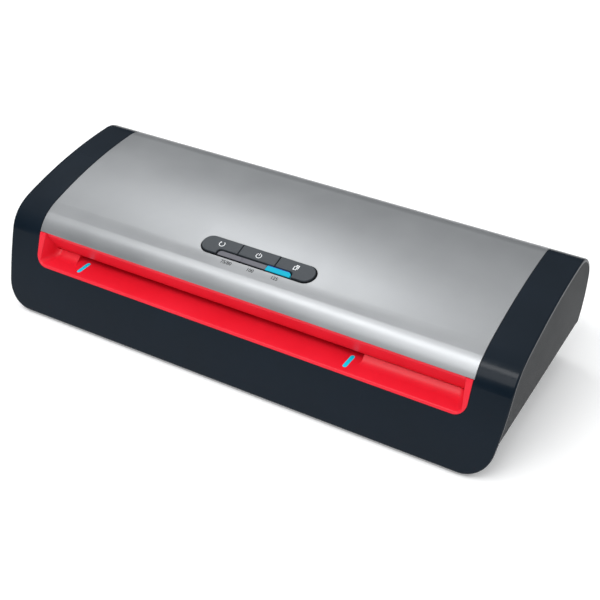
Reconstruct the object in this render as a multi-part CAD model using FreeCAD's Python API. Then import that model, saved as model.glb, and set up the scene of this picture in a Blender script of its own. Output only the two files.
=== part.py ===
import FreeCAD, Part
import math
import os

os.makedirs("parts", exist_ok=True)

# Pouch laminator.  Millimetres, +X to the right, +Y to the rear, +Z up.
# The origin is on the ground, under the middle of the body's outline.

V = FreeCAD.Vector
X_AXIS = V(1, 0, 0)
Y_AXIS = V(0, 1, 0)
Z_AXIS = V(0, 0, 1)

# ---- driving dimensions: outline -------------------------------------------------
DEPTH = 158.0            # body, front foot to the rearmost line
HALF_WIDTH = 197.6       # at the height where the crowned ends are widest
GROUND_GAP = 2.5         # underside of the body above the ground
FRONT_LEAN = 19.5        # degrees, the front face leans back by this
FRONT_TOP_Z = 57.6       # where the flat front ends and the nose begins
NOSE_R = 28.3
NOSE_END = 30.0          # heading in degrees where the nose radius ends
SHOULDER_R = 45.0
SHOULDER_END = 17.1
TOP_R = 351.0
REAR_R = 22.6
REAR_LEAN = 1.0          # degrees, the rear face leans in by this towards the ground
CROWN_R = 330.0          # gentle crown of both ends, in the front view
CROWN_Z = 66.0
CORNER_R = 20.5          # lower corners of the front face
EDGE_R = 1.2
END_LINE_X = 190.0       # edges beyond this belong to the body's ends

# ---- driving dimensions: casing --------------------------------------------------
SEAM_FRONT_Z = 26.0      # seam between housing and base tray, front and rear
SEAM_REAR_Z = 32.0
SEAM_GAP = 0.15
SCREW_HOLE_R = 1.3
COLUMN_R = 4.0           # housing and guide columns that take the tray's screws
TRAY_COLUMN_R = 5.0
REAR_SCREWS = ((-162.0, 62.0), (162.0, 62.0))
FRONT_SCREWS = ((-150.0, -52.0), (0.0, -52.0), (150.0, -52.0))
TUCK_ANGLE = 40.0        # the base tray's sides slope in by this from the vertical
TUCK_STEP = 2.4          # and start this far inside the body's widest line
TRAY_HALF = 194.5
TRAY_FLOOR_Z = 5.0       # top of the tray's floor
VENT_COUNT = 9
VENT_PITCH = 22.0
VENT_WIDTH = 4.5
VENT_LENGTH = 18.0
VENT_X = -110.0
VENT_ROWS_Y = (-18.0, 26.0)
HEAD_HOLE_R = 3.6
HEAD_TOP_Z = 8.0         # top of the screw heads' counterbores
COVER_HALF = 171.6       # half width of the top cover
COVER_T = 2.0
COVER_SIDE_GAP = 0.3     # shadow gap between the cover's sides and the end bands
COVER_EDGE_R = 0.3
COVER_LIP_Z = 61.2       # lower front edge of the top cover
COVER_TAIL_Z = 57.0      # lower rear edge of the top cover
FIT_GAP = 0.1
WALL = 2.5
FASCIA_T = 3.2
FASCIA_DEEP = FASCIA_T / math.cos(math.radians(FRONT_LEAN))   # along Y
DECK_OVERLAP = 3.0       # the deck's underside runs this far under the end bands
DECK_FOOT_Z = 56.0       # below this the rear wall is as thick as the fascia
PANEL_RIM = 2.3          # dark rim left around each end panel
PANEL_FACE_X = 192.4     # flat inner face of the end panels
PANEL_DROP = 0.2         # end panels sit this far below the rim
END_WALL_T = 2.8
REAR_CORNER_R = 3.0      # lower rear corners of the housing's ends and the end panels
SPLIT_RISE = 0.5         # the deck piece starts this far above the cover's lip line
BLOCK_X = 260.0          # beyond the body, for cutting blocks
BLOCK_TOP = 120.0

# ---- driving dimensions: paper path ----------------------------------------------
PATH_X = -26.1           # the paper path is off centre, the drive is at the right
SLOT_HALF = 118.0
FLOOR_Z = 39.4           # top of the feed floor
SLOT_TOP_Z = 42.4
PAPER_Z = 40.6
SLOT_Y = -43.4
MOUTH_HALF = 171.0
MOUTH_BOTTOM_Z = 37.4
MOUTH_R = 8.7
MOUTH_BACK_Y = -34.0
RIM_PROUD = 0.5
RIM_T = 2.4
RIM_ROUND = 1.0
THROAT_HALF = 163.4      # half width at the back of the feed recess
THROAT_Y = -48.7
RIDGE_Y = -48.4          # where the floor's step up beside the slot meets the upper guide
RIDGE_RISE = 4.7
CEILING = ((-56.8, 58.6), (-51.4, 48.0), (-48.5, 44.35))   # (y, z) under the upper guide: lip, bend, arc
GUIDE_BACK = [(-42.5, 44.8), (-46.6, 45.9), (-49.4, 49.4), (-54.2, 58.6)]   # its upper side, slot to lip
RISE_R = 10.2
EXIT_HALF = 124.0
EXIT_LOW_Z = 37.4
EXIT_HIGH_Z = 43.8
EXIT_IN_Y = 58.0
MARK_R = 1.5             # half width of the size marks
MARK_Y = (-60.5, -49.4)
MARK_OFFSET = 110.0      # size marks, each side of the paper path's middle

# ---- driving dimensions: rollers and drive ---------------------------------------
HEAT_Y = -8.0
PULL_Y = 34.4
ROLLER_R = 11.0
ROLLER_HALF = 121.0
NIP_GAP = 0.4
SHAFT_R = 4.0
JOURNAL_R = 3.0
RUN_FIT = 0.05
LOW_Z = PAPER_Z - ROLLER_R - NIP_GAP / 2
HIGH_Z = PAPER_Z + ROLLER_R + NIP_GAP / 2
SHOE_GAP = 1.6           # air between a roller and its heating shoe
SHOE_T = 2.8
SHOE_BACK = ROLLER_R + 5.4   # from a roller's axis to the flat back of its shoe
STRIP_T = 1.4
PLATE_T = 2.0
PLATE_FOOT_Z = 8.0       # underside of the side plates, on the tray's pads
PLATE_FEET_Y = (-24.0, 44.0)
PLATE_OUTLINE = [(-32, PLATE_FOOT_Z), (54, PLATE_FOOT_Z), (54, 30), (50, 66), (44, 72), (-8, 72), (-26, 62),
                 (-32, 30)]
PLATE_LEFT_X = PATH_X - 134.0
PLATE_RIGHT_X = PATH_X + 134.0
MODULE = 1.0
ROLLER_TEETH = 22
IDLER_TEETH = 20
PINION_TEETH = 14
GEAR_X = PLATE_RIGHT_X + 5.0
GEAR_T = 7.0
BRACKET_X = GEAR_X + GEAR_T + 4.0
BRACKET_T = 1.5
BRACKET_OUTLINE = [(-42, 8), (4, 8), (4, 16), (-4, 44), (-20, 44), (-42, 30)]
BRACKET_POSTS = ((-29.0, 33.5), (0.5, 11.0))
GEARBOX_R = 14.5
GEARBOX_T = 18.0
MOTOR_R = 12.5
MOTOR_LENGTH = 24.0
MESH_SLACK = 0.2         # added to each gear pair's centre distance
PINION_ANGLE = 200.0     # degrees, where the pinion meets the lower gear
BUSH_R = 5.0
ROD_R = 3.0
ROD_SPOTS = ((13.2, 62.0), (-27.0, 14.0), (49.0, 14.0))
SPRING_ROOM = 5.8        # from the top of an upper bushing to the top of its spring keeper
IDLER_PIN_R = 3.0
PINION_SHAFT_R = 2.5

# ---- driving dimensions: feet, boards and the lead's bushing ----------------------
FOOT_R = 7.0
FOOT_X = 140.0
FOOT_Y = (-62.0, 58.0)
GLAND_X = 140.0
GLAND_Z = 19.0
GLAND_BORE_R = 3.3
GLAND_R = 6.1
GLAND_FLANGE_R = 8.5
GLAND_FLANGE_T = 0.7
BOARD_BOX = ((132.0, -2.0, 12.0), (168.0, 56.0, 13.6))

# ---- driving dimensions: controls -------------------------------------------------
PILL_Y = -31.4
PILL_HALF = 45.2
PILL_R = 7.9
BUTTON_EDGES = (-44.5, -14.8, 14.8, 44.5)
BUTTON_GAP = 0.5
BUTTON_TOP = 1.5
BUTTON_TRAVEL = 0.8
STEM_END = -4.6
NOTCH_HALF = 28.8
NOTCH_TOP = -3.4
BAR_COUNT = 3
BOARD_TOP = -9.4
PIN_X = 37.0             # board pins under the deck, in the panel's frame
PIN_Y = 11.5
PIN_R = 2.2
PIN_TOP = -4.2


# ---- outline helpers --------------------------------------------------------------
def heading_vector(degrees):
    """Unit vector along a heading in the YZ plane; 0 points to the rear."""
    a = math.radians(degrees)
    return V(0, math.cos(a), math.sin(a))


def inward(degrees):
    """Unit vector to the right of a heading, which is into the body."""
    a = math.radians(degrees)
    return V(0, math.sin(a), -math.cos(a))


def turn(point, radius, start, end):
    """End of a clockwise arc that leaves point at one heading and ends at another."""
    return point + inward(start) * radius - inward(end) * radius


def side_stations():
    """Corner points and headings of the body's side outline, front foot to rear foot."""
    foot = V(0, -DEPTH / 2, GROUND_GAP)
    up = 90 - FRONT_LEAN
    rise = FRONT_TOP_Z - GROUND_GAP
    nose = foot + V(0, rise * math.tan(math.radians(FRONT_LEAN)), rise)
    shoulder = turn(nose, NOSE_R, up, NOSE_END)
    top = turn(shoulder, SHOULDER_R, NOSE_END, SHOULDER_END)
    sine = (top.y + TOP_R * math.sin(math.radians(SHOULDER_END)) + REAR_R - DEPTH / 2)
    crest_end = math.degrees(math.asin(sine / (TOP_R - REAR_R)))
    rear = turn(top, TOP_R, SHOULDER_END, crest_end)
    down = -90 - REAR_LEAN
    tail = turn(rear, REAR_R, crest_end, down)
    return foot, [(nose, up), (shoulder, NOSE_END), (top, SHOULDER_END), (rear, crest_end), (tail, down)]


def foot_point(point, heading, inset, level):
    """Where the line through point at a heading, moved in by inset, reaches a level."""
    moved = point + inward(heading) * inset
    along = heading_vector(heading)
    return moved + along * ((level - moved.z) / along.z)


def side_wire(inset):
    """Closed side outline of the body in the YZ plane, moved inwards by inset."""
    foot, stations = side_stations()
    radii = [NOSE_R, SHOULDER_R, TOP_R, REAR_R]
    points = [p + inward(h) * inset for p, h in stations]
    level = GROUND_GAP + inset
    front = foot_point(foot, stations[0][1], inset, level)
    back = foot_point(stations[-1][0], stations[-1][1], inset, level)
    edges = [Part.LineSegment(front, points[0]).toShape()]
    for i, radius in enumerate(radii):
        start, end = stations[i][1], stations[i + 1][1]
        middle = turn(stations[i][0], radius, start, (start + end) / 2)
        middle = middle + inward((start + end) / 2) * inset
        edges.append(Part.Arc(points[i], middle, points[i + 1]).toShape())
    edges.append(Part.LineSegment(points[-1], back).toShape())
    edges.append(Part.LineSegment(back, front).toShape())
    return Part.Wire(edges)


def side_prism(inset, low_x, high_x):
    """The side outline as a solid between two X positions."""
    face = Part.Face(side_wire(inset))
    face.translate(V(low_x, 0, 0))
    return face.extrude(V(high_x - low_x, 0, 0))


def front_prism(inset):
    """The front outline, with crowned ends and rounded lower corners, as a deep solid."""
    crown = CROWN_R - inset
    corner = CORNER_R - inset
    centre_x = HALF_WIDTH - CROWN_R
    corner_z = GROUND_GAP + CORNER_R
    drop = CROWN_Z - corner_z
    reach = math.sqrt((CROWN_R - CORNER_R) ** 2 - drop ** 2)
    corner_x = centre_x + reach
    share = crown / (CROWN_R - CORNER_R)
    join = V(centre_x + reach * share, 0, CROWN_Z - drop * share)
    top_z = 100.0
    top = V(centre_x + math.sqrt(crown ** 2 - (top_z - CROWN_Z) ** 2), 0, top_z)
    widest = V(centre_x + crown, 0, CROWN_Z)
    slope = math.atan2(join.z - corner_z, join.x - corner_x)
    half_turn = (slope - math.pi / 2) / 2
    bend = V(corner_x + corner * math.cos(half_turn), 0, corner_z + corner * math.sin(half_turn))
    low = V(corner_x, 0, GROUND_GAP + inset)

    def flip(p):
        return V(-p.x, p.y, p.z)

    edges = [
        Part.LineSegment(flip(top), top).toShape(),
        Part.Arc(top, widest, join).toShape(),
        Part.Arc(join, bend, low).toShape(),
        Part.LineSegment(low, flip(low)).toShape(),
        Part.Arc(flip(low), flip(bend), flip(join)).toShape(),
        Part.Arc(flip(join), flip(widest), flip(top)).toShape(),
    ]
    face = Part.Face(Part.Wire(edges))
    face.translate(V(0, -DEPTH, 0))
    return face.extrude(V(0, 2 * DEPTH, 0))


def x_prism(points, low_x, high_x):
    """A straight-sided (y, z) outline as a solid between two X positions."""
    corners = [V(low_x, y, z) for y, z in points]
    face = Part.Face(Part.makePolygon(corners + [corners[0]]))
    return face.extrude(V(high_x - low_x, 0, 0))


def box(low, high):
    """A box between two corners."""
    return Part.makeBox(high[0] - low[0], high[1] - low[1], high[2] - low[2], V(*low))


def x_rod(y, z, radius, low_x, high_x):
    """A round rod along X."""
    return Part.makeCylinder(radius, high_x - low_x, V(low_x, y, z), X_AXIS)


def x_tube(y, z, outer, inner, low_x, high_x):
    """A round tube along X."""
    return x_rod(y, z, outer, low_x, high_x).cut(x_rod(y, z, inner, low_x, high_x))


def post(x, y, radius, low_z, high_z):
    """A round post along Z."""
    return Part.makeCylinder(radius, high_z - low_z, V(x, y, low_z), Z_AXIS)


def save(name, shape):
    """Check one sub-part and write it."""
    shape = shape.removeSplitter()
    solids = shape.Solids
    if not shape.isValid() or not solids:
        print("PROBLEM", name, shape.isValid(), len(solids))
    if len(solids) == 1:
        shape = solids[0]
    shape.exportStep("parts/" + name + ".step")
    print(name, len(solids), round(shape.Volume))


def front_y(z):
    """Y of the flat front face at a height."""
    return -DEPTH / 2 + (z - GROUND_GAP) * math.tan(math.radians(FRONT_LEAN))


def rear_y(z):
    """Y of the flat rear face at a height."""
    foot, stations = side_stations()
    return foot_point(stations[-1][0], stations[-1][1], 0, z).y


def seam_z(y):
    """Height of the seam between housing and tray at a depth."""
    return SEAM_FRONT_Z + (SEAM_REAR_Z - SEAM_FRONT_Z) * (y + DEPTH / 2) / DEPTH


def below_seam(shift):
    """Everything below the seam plane moved up by shift."""
    deep = DEPTH
    return x_prism([(-deep, seam_z(-deep) + shift), (deep, seam_z(deep) + shift),
                    (deep, -50), (-deep, -50)], -BLOCK_X, BLOCK_X)


def rear_corner(inset):
    """The sliver outside the rounded corner where the rear face meets the seam."""
    reach = 4 * REAR_CORNER_R
    corner_z = seam_z(rear_y(SEAM_REAR_Z) - inset)
    corner_y = rear_y(corner_z) - inset
    ahead = corner_y - reach
    high = corner_z + reach
    outline = [(corner_y, corner_z), (rear_y(high) - inset, high), (ahead, high), (ahead, seam_z(ahead))]
    sharp = x_prism(outline, -BLOCK_X, BLOCK_X)

    def at_corner(edge):
        middle = edge.BoundBox.Center
        return abs(middle.y - corner_y) < 0.01 and abs(middle.z - corner_z) < 0.01

    rounded = round_edges(sharp, REAR_CORNER_R, at_corner)
    top_z = corner_z + REAR_CORNER_R
    near = box((-BLOCK_X, corner_y - REAR_CORNER_R, corner_z - 1), (BLOCK_X, corner_y + 2, top_z))
    return near.cut(rounded)


def round_edges(shape, radius, keep):
    """Fillet the edges that keep() accepts; leave the shape alone if that fails."""
    edges = [e for e in shape.Edges if keep(e)]
    try:
        rounded = shape.makeFillet(radius, edges)
    except Part.OCCError:
        rounded = None
    if rounded and rounded.isValid() and rounded.Solids:
        return rounded
    print("fillet skipped, edges:", len(edges))
    return shape


# ---- casing -----------------------------------------------------------------------
def body_blank():
    """The whole body's outer shape, with its end edges rounded."""
    blank = side_prism(0, -BLOCK_X, BLOCK_X).common(front_prism(0))

    def on_end(edge):
        along = edge.BoundBox
        return along.XMin > END_LINE_X or along.XMax < -END_LINE_X

    def end_edge(edge):
        return on_end(edge) and edge.BoundBox.ZMin > GROUND_GAP + CORNER_R + 1

    return round_edges(blank, EDGE_R, end_edge)


def cover_zone(gap, side_gap):
    """The space above the lip and tail lines that the top cover takes."""
    half = COVER_HALF + side_gap
    front = box((-half, -DEPTH, COVER_LIP_Z - gap), (half, 0, BLOCK_TOP))
    rear = box((-half, 0, COVER_TAIL_Z - gap), (half, DEPTH, BLOCK_TOP))
    return front.fuse(rear)


def pill_place(shape):
    """Move a shape from the control panel's own frame onto the sloping top."""
    foot, stations = side_stations()
    start, heading = stations[2]
    sine = math.sin(math.radians(heading)) - (PILL_Y - start.y) / TOP_R
    angle = math.degrees(math.asin(sine))
    spot = turn(start, TOP_R, heading, angle)
    placed = shape.copy()
    placed.rotate(V(0, 0, 0), X_AXIS, angle)
    placed.translate(V(0, spot.y, spot.z))
    return placed


def stadium(half, radius, low, high):
    """A slot-shaped block in the control panel's frame."""
    middle = half - radius
    block = Part.makeBox(2 * middle, 2 * radius, high - low, V(-middle, -radius, low))
    for x in (-middle, middle):
        block = block.fuse(Part.makeCylinder(radius, high - low, V(x, 0, low), Z_AXIS))
    return block.removeSplitter()


def mouth_block(grow, front_reach, back_y, top_z):
    """The feed mouth's outline, with rounded lower corners, as a block along Y."""
    half = MOUTH_HALF + grow
    low = MOUTH_BOTTOM_Z - grow
    radius = MOUTH_R + grow
    bend = radius * (1 - math.sqrt(0.5))
    outline = [(-half, top_z), (half, top_z), (half, low + radius), (half - bend, low + bend),
               (half - radius, low), (radius - half, low), (bend - half, low + bend), (-half, low + radius)]
    a, b, c, d, e, f, g, h = [V(x, 0, z) for x, z in outline]
    edges = [Part.LineSegment(a, b).toShape(), Part.LineSegment(b, c).toShape(), Part.Arc(c, d, e).toShape(),
             Part.LineSegment(e, f).toShape(), Part.Arc(f, g, h).toShape(), Part.LineSegment(h, a).toShape()]
    face = Part.Face(Part.Wire(edges))
    face.translate(V(0, front_reach, 0))
    return face.extrude(V(0, back_y - front_reach, 0))


def panel_zone(side, rim, face_x, drop):
    """The space of an end panel: inside the rim and above the seam."""
    low, high = (face_x, BLOCK_X) if side > 0 else (-BLOCK_X, -face_x)
    zone = side_prism(rim, low, high).common(front_prism(drop))
    return zone.cut(below_seam(0)).cut(rear_corner(rim))


def exit_block(grow, low_y, high_y):
    """The exit slot as a block along Y."""
    return box((PATH_X - EXIT_HALF - grow, low_y, EXIT_LOW_Z - grow),
               (PATH_X + EXIT_HALF + grow, high_y, EXIT_HIGH_Z + grow))


def housing(blank):
    """Dark upper casing as two pieces: the ends with the fascia, and the deck with the rear wall."""
    seat = cover_zone(FIT_GAP, COVER_SIDE_GAP)
    shell = blank.cut(seat.cut(side_prism(COVER_T + FIT_GAP, -BLOCK_X, BLOCK_X)))
    end_x = PANEL_FACE_X - FIT_GAP - END_WALL_T
    deck_x = COVER_HALF + DECK_OVERLAP
    upper = box((-deck_x, -DEPTH, DECK_FOOT_Z), (deck_x, DEPTH, BLOCK_TOP))
    inside_bands = side_prism(FASCIA_T, -end_x, end_x).cut(upper)
    under_deck = side_prism(COVER_T + FIT_GAP + WALL, -deck_x, deck_x).common(upper)
    shell = shell.cut(inside_bands.fuse(under_deck))
    low, high = -5.0, 70.0
    fascia_back = x_prism([(front_y(low) + FASCIA_DEEP, low), (front_y(high) + FASCIA_DEEP, high),
                           (DEPTH, high), (DEPTH, low)], -BLOCK_X, BLOCK_X)
    shell = shell.cut(below_seam(SEAM_GAP).common(fascia_back))
    for side in (-1, 1):
        shell = shell.cut(panel_zone(side, PANEL_RIM, PANEL_FACE_X - FIT_GAP, -5))
    shell = shell.cut(mouth_block(FIT_GAP, -DEPTH, MOUTH_BACK_Y + 1, COVER_LIP_Z + 0.5))
    shell = shell.cut(exit_block(FIT_GAP + 2, 60, 100)).cut(rear_corner(0))
    shell = shell.cut(pill_place(stadium(PILL_HALF + FIT_GAP, PILL_R + FIT_GAP, -12, 6)))
    half = COVER_HALF + COVER_SIDE_GAP
    zone = box((-half, -DEPTH, COVER_LIP_Z + SPLIT_RISE), (half, 0, BLOCK_TOP))
    zone = zone.fuse(box((-half, 0, 0), (half, DEPTH, BLOCK_TOP)))
    deck = shell.common(zone)
    for x in (-PIN_X, PIN_X):
        for y in (-PIN_Y, PIN_Y):
            pin = Part.makeCylinder(PIN_R, PIN_TOP - BOARD_TOP, V(x, y, BOARD_TOP), Z_AXIS)
            deck = deck.fuse(pill_place(pin))
    inside_deck = side_prism(COVER_T + FIT_GAP + 0.8, -half, half)
    for x, y in REAR_SCREWS:
        column = post(x, y, COLUMN_R, seam_z(y) + 0.4, BLOCK_TOP)
        column = column.cut(post(x, y, SCREW_HOLE_R, 0, seam_z(y) + 16))
        deck = deck.fuse(column.common(inside_deck))
    return shell.cut(zone), deck


def top_cover():
    """Silver cover that wraps from the feed lip over the top to the rear, its outer edges softened."""
    outside = side_prism(0, -COVER_HALF, COVER_HALF)
    cover = outside.cut(side_prism(COVER_T, -COVER_HALF, COVER_HALF)).common(cover_zone(0, 0))
    cover = cover.cut(pill_place(stadium(PILL_HALF + FIT_GAP, PILL_R + FIT_GAP, -12, 6)))
    skin = side_prism(0, -BLOCK_X, BLOCK_X).Shells[0]

    def outer_edge(edge):
        middle = edge.valueAt((edge.FirstParameter + edge.LastParameter) / 2)
        on_skin = Part.Vertex(middle).distToShape(skin)[0] < 0.01
        along = edge.BoundBox
        around = along.XLength < 0.01 and abs(middle.x) > COVER_HALF - 0.01
        to_end = min(abs(along.ZMin - COVER_LIP_Z), abs(along.ZMin - COVER_TAIL_Z))
        across = along.XLength > COVER_HALF and to_end < 0.01
        hole = max(-along.XMin, along.XMax) < PILL_HALF + 1
        return on_skin and (around or across or hole)

    return round_edges(cover, COVER_EDGE_R, outer_edge)


def side_panel(side):
    """Grey end panel, let into the housing's end with a dark rim left around it."""
    return panel_zone(side, PANEL_RIM + FIT_GAP, PANEL_FACE_X, PANEL_DROP)


def tucks(shift):
    """The two wedges that slope the tray's sides in, moved inwards by shift."""
    run = math.tan(math.radians(TUCK_ANGLE))
    top_x = HALF_WIDTH - TUCK_STEP - shift / math.cos(math.radians(TUCK_ANGLE))
    high, low = SEAM_FRONT_Z + 40, -20.0
    high_x = top_x - (SEAM_FRONT_Z - high) * run
    low_x = top_x - (SEAM_FRONT_Z - low) * run
    front = -DEPTH / 2
    wedges = []
    for side in (-1, 1):
        corners = [V(side * high_x, front, high), V(side * BLOCK_X, front, high),
                   V(side * BLOCK_X, front, low), V(side * low_x, front, low)]
        face = Part.Face(Part.makePolygon(corners + [corners[0]]))
        along = V(0, DEPTH, SEAM_REAR_Z - SEAM_FRONT_Z)
        wedge = face.extrude(along * 3)
        wedge.translate(along * -1)
        wedges.append(wedge)
    return wedges[0].fuse(wedges[1])


def base_tray():
    """Base tray as two pieces: the vented floor, and the walls with sloping sides."""
    gap = FASCIA_DEEP + 0.3
    low, high = -20.0, 60.0
    outer = side_prism(0, -TRAY_HALF, TRAY_HALF).cut(tucks(0)).common(below_seam(0))
    ahead = [(-DEPTH, low), (front_y(low) + gap, low), (front_y(high) + gap, high), (-DEPTH, high)]
    outer = outer.cut(x_prism(ahead, -BLOCK_X, BLOCK_X))
    front_in = gap + WALL / math.cos(math.radians(FRONT_LEAN))
    inner = x_prism([(front_y(TRAY_FLOOR_Z) + front_in, TRAY_FLOOR_Z), (front_y(high) + front_in, high),
                     (rear_y(high) - WALL, high), (rear_y(TRAY_FLOOR_Z) - WALL, TRAY_FLOOR_Z)],
                    WALL - TRAY_HALF, TRAY_HALF - WALL)
    tray = outer.cut(inner.cut(tucks(WALL)))
    for x, y in REAR_SCREWS + FRONT_SCREWS:
        tray = tray.cut(post(x, y, HEAD_HOLE_R, 0, HEAD_TOP_Z))
    for i in range(VENT_COUNT):
        for y in VENT_ROWS_Y:
            x = VENT_X + VENT_PITCH * i
            low_y, high_y = y - VENT_LENGTH / 2, y + VENT_LENGTH / 2
            tray = tray.cut(box((x, low_y, 0), (x + VENT_WIDTH, high_y, TRAY_FLOOR_Z + 2)))
    for x, y in foot_spots():
        tray = tray.cut(post(x, y, FOOT_R + FIT_GAP, 0, GROUND_GAP + 1.0))
    tray = tray.cut(y_rod(GLAND_R + FIT_GAP, 50, 50))
    slab = box((-BLOCK_X, -DEPTH, 0), (BLOCK_X, DEPTH, TRAY_FLOOR_Z))
    return tray.common(slab), tray.cut(slab)


def tray_pillars():
    """Pillars on the tray's floor for the casing screws, the side plates and the power board."""
    pillars = []
    for x, y in REAR_SCREWS + FRONT_SCREWS:
        pillar = post(x, y, TRAY_COLUMN_R, TRAY_FLOOR_Z, seam_z(y) - 1.0)
        pillar = pillar.cut(post(x, y, SCREW_HOLE_R + 0.3, 0, SEAM_REAR_Z))
        pillars.append(pillar.cut(post(x, y, HEAD_HOLE_R, 0, HEAD_TOP_Z)))
    for x in (PLATE_LEFT_X, PLATE_RIGHT_X):
        for y in PLATE_FEET_Y:
            pillars.append(box((x - 8, y - 5, TRAY_FLOOR_Z), (x + 8, y + 5, PLATE_FOOT_Z)))
    (x0, y0, board_z), (x1, y1, _) = BOARD_BOX
    for x in (x0 + 4, x1 - 4):
        for y in (y0 + 4, y1 - 4):
            pillars.append(post(x, y, 2.5, TRAY_FLOOR_Z, board_z))
    return Part.makeCompound(pillars)


def y_rod(radius, low_y, length):
    """A round rod along Y on the lead's axis."""
    return Part.makeCylinder(radius, length, V(GLAND_X, low_y, GLAND_Z), Y_AXIS)


def gland_ends():
    """Y of the bushing's outer and inner ends, just clear of the tray's rear wall."""
    clear = 0.1
    out_y = rear_y(GLAND_Z + GLAND_FLANGE_R) + clear + GLAND_FLANGE_T
    in_y = rear_y(GLAND_Z - GLAND_FLANGE_R) - WALL - clear - GLAND_FLANGE_T
    return out_y, in_y


def cord_gland():
    """Bushing in the tray's rear wall that the supply lead passes through."""
    out_y, in_y = gland_ends()
    length = out_y - in_y
    sleeve = y_rod(GLAND_R, in_y, length)
    outer = y_rod(GLAND_FLANGE_R, out_y - GLAND_FLANGE_T, GLAND_FLANGE_T)
    inner = y_rod(GLAND_FLANGE_R - 0.5, in_y, GLAND_FLANGE_T)
    return sleeve.fuse(outer).fuse(inner).cut(y_rod(GLAND_BORE_R, in_y - 1, length + 2))


def foot_spots():
    """Places of the four rubber feet."""
    return [(x, y) for x in (-FOOT_X, FOOT_X) for y in FOOT_Y]


def rubber_foot(x, y):
    """Round rubber foot, let into the tray's underside."""
    foot = post(x, y, FOOT_R, 0, GROUND_GAP + 0.9)
    rim = [e for e in foot.Edges if e.BoundBox.ZMax < 0.01]
    return foot.makeFillet(0.8, rim)


# ---- feed and exit ----------------------------------------------------------------
def ceiling_edges(x):
    """The curved underside of the upper guide, from lip to slot, as edges."""
    lip, bend, middle = [V(x, y, z) for y, z in CEILING]
    slot = V(x, SLOT_Y, SLOT_TOP_Z)
    return [Part.LineSegment(lip, bend).toShape(), Part.Arc(bend, middle, slot).toShape()]


def feed_guide_upper():
    """Red upper guide: slopes from under the cover's lip down to the feed slot."""
    half = MOUTH_HALF
    lip_y, lip_z = CEILING[0]
    top_z = COVER_LIP_Z - 0.3
    back = [(SLOT_Y, SLOT_TOP_Z), (MOUTH_BACK_Y, SLOT_TOP_Z - 0.1), (MOUTH_BACK_Y, SLOT_TOP_Z + 2.0)]
    back += GUIDE_BACK + [(lip_y + 2.6, top_z), (lip_y - 0.4, top_z), (lip_y, lip_z)]
    corners = [V(-half, y, z) for y, z in back]
    lines = [Part.LineSegment(p, q).toShape() for p, q in zip(corners, corners[1:])]
    face = Part.Face(Part.Wire(ceiling_edges(-half) + lines))
    behind = box((0.2 - THROAT_HALF, THROAT_Y, 0), (THROAT_HALF - 0.2, MOUTH_BACK_Y + 1, BLOCK_TOP))
    ahead = recess_taper(0.2).common(box((-half, -DEPTH, 0), (half, THROAT_Y, BLOCK_TOP)))
    return face.extrude(V(2 * half, 0, 0)).common(behind.fuse(ahead))


def recess_taper(inset):
    """A tall block whose sides taper like the feed recess, moved inwards by inset."""
    wide = MOUTH_HALF - RIM_T - inset
    front = front_y(MOUTH_BOTTOM_Z)
    flare = (MOUTH_HALF - RIM_T - THROAT_HALF) / (THROAT_Y - front)
    front_reach, back_reach = 30.0, 60.0
    far = wide + flare * front_reach
    deep = wide - flare * (THROAT_Y - front + back_reach)
    plan = [V(-far, front - front_reach, 0), V(far, front - front_reach, 0),
            V(deep, THROAT_Y + back_reach, 0), V(-deep, THROAT_Y + back_reach, 0)]
    return Part.Face(Part.makePolygon(plan + [plan[0]])).extrude(V(0, 0, BLOCK_TOP))


def recess_space():
    """The hollow of the feed recess: floor, tapering sides and the step up beside the slot."""
    back_y = MOUTH_BACK_Y + 2
    lean = math.acos(1 - RIDGE_RISE / RISE_R)
    start_y = RIDGE_Y - RISE_R * math.sin(lean)
    ridge_z = FLOOR_Z + RIDGE_RISE
    bend = V(0, start_y + RISE_R * math.sin(lean / 2), FLOOR_Z + RISE_R * (1 - math.cos(lean / 2)))
    top = V(0, RIDGE_Y + (90 - ridge_z) / math.tan(lean), 90)
    rise = [Part.LineSegment(V(0, -100, FLOOR_Z), V(0, start_y, FLOOR_Z)).toShape(),
            Part.Arc(V(0, start_y, FLOOR_Z), bend, V(0, RIDGE_Y, ridge_z)).toShape(),
            Part.LineSegment(V(0, RIDGE_Y, ridge_z), top).toShape(),
            Part.LineSegment(top, V(0, -100, 90)).toShape(),
            Part.LineSegment(V(0, -100, 90), V(0, -100, FLOOR_Z)).toShape()]
    section = Part.Face(Part.Wire(rise))
    section.translate(V(-200, 0, 0))
    section = section.extrude(V(400, 0, 0))
    space = section.common(recess_taper(0))

    def floor_corner(edge):
        b = edge.BoundBox
        return b.XLength > 0.1 and b.YLength > 3 and b.XLength < 60 and b.ZMax < 89

    space = round_edges(space, 4.0, floor_corner)
    behind = [(RIDGE_Y, ridge_z), (SLOT_Y, SLOT_TOP_Z - 0.2), (back_y, SLOT_TOP_Z - 0.3), (back_y, 90),
              (RIDGE_Y - 2, 90), (RIDGE_Y - 2, ridge_z)]
    return space.fuse(x_prism(behind, -THROAT_HALF, THROAT_HALF))


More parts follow.
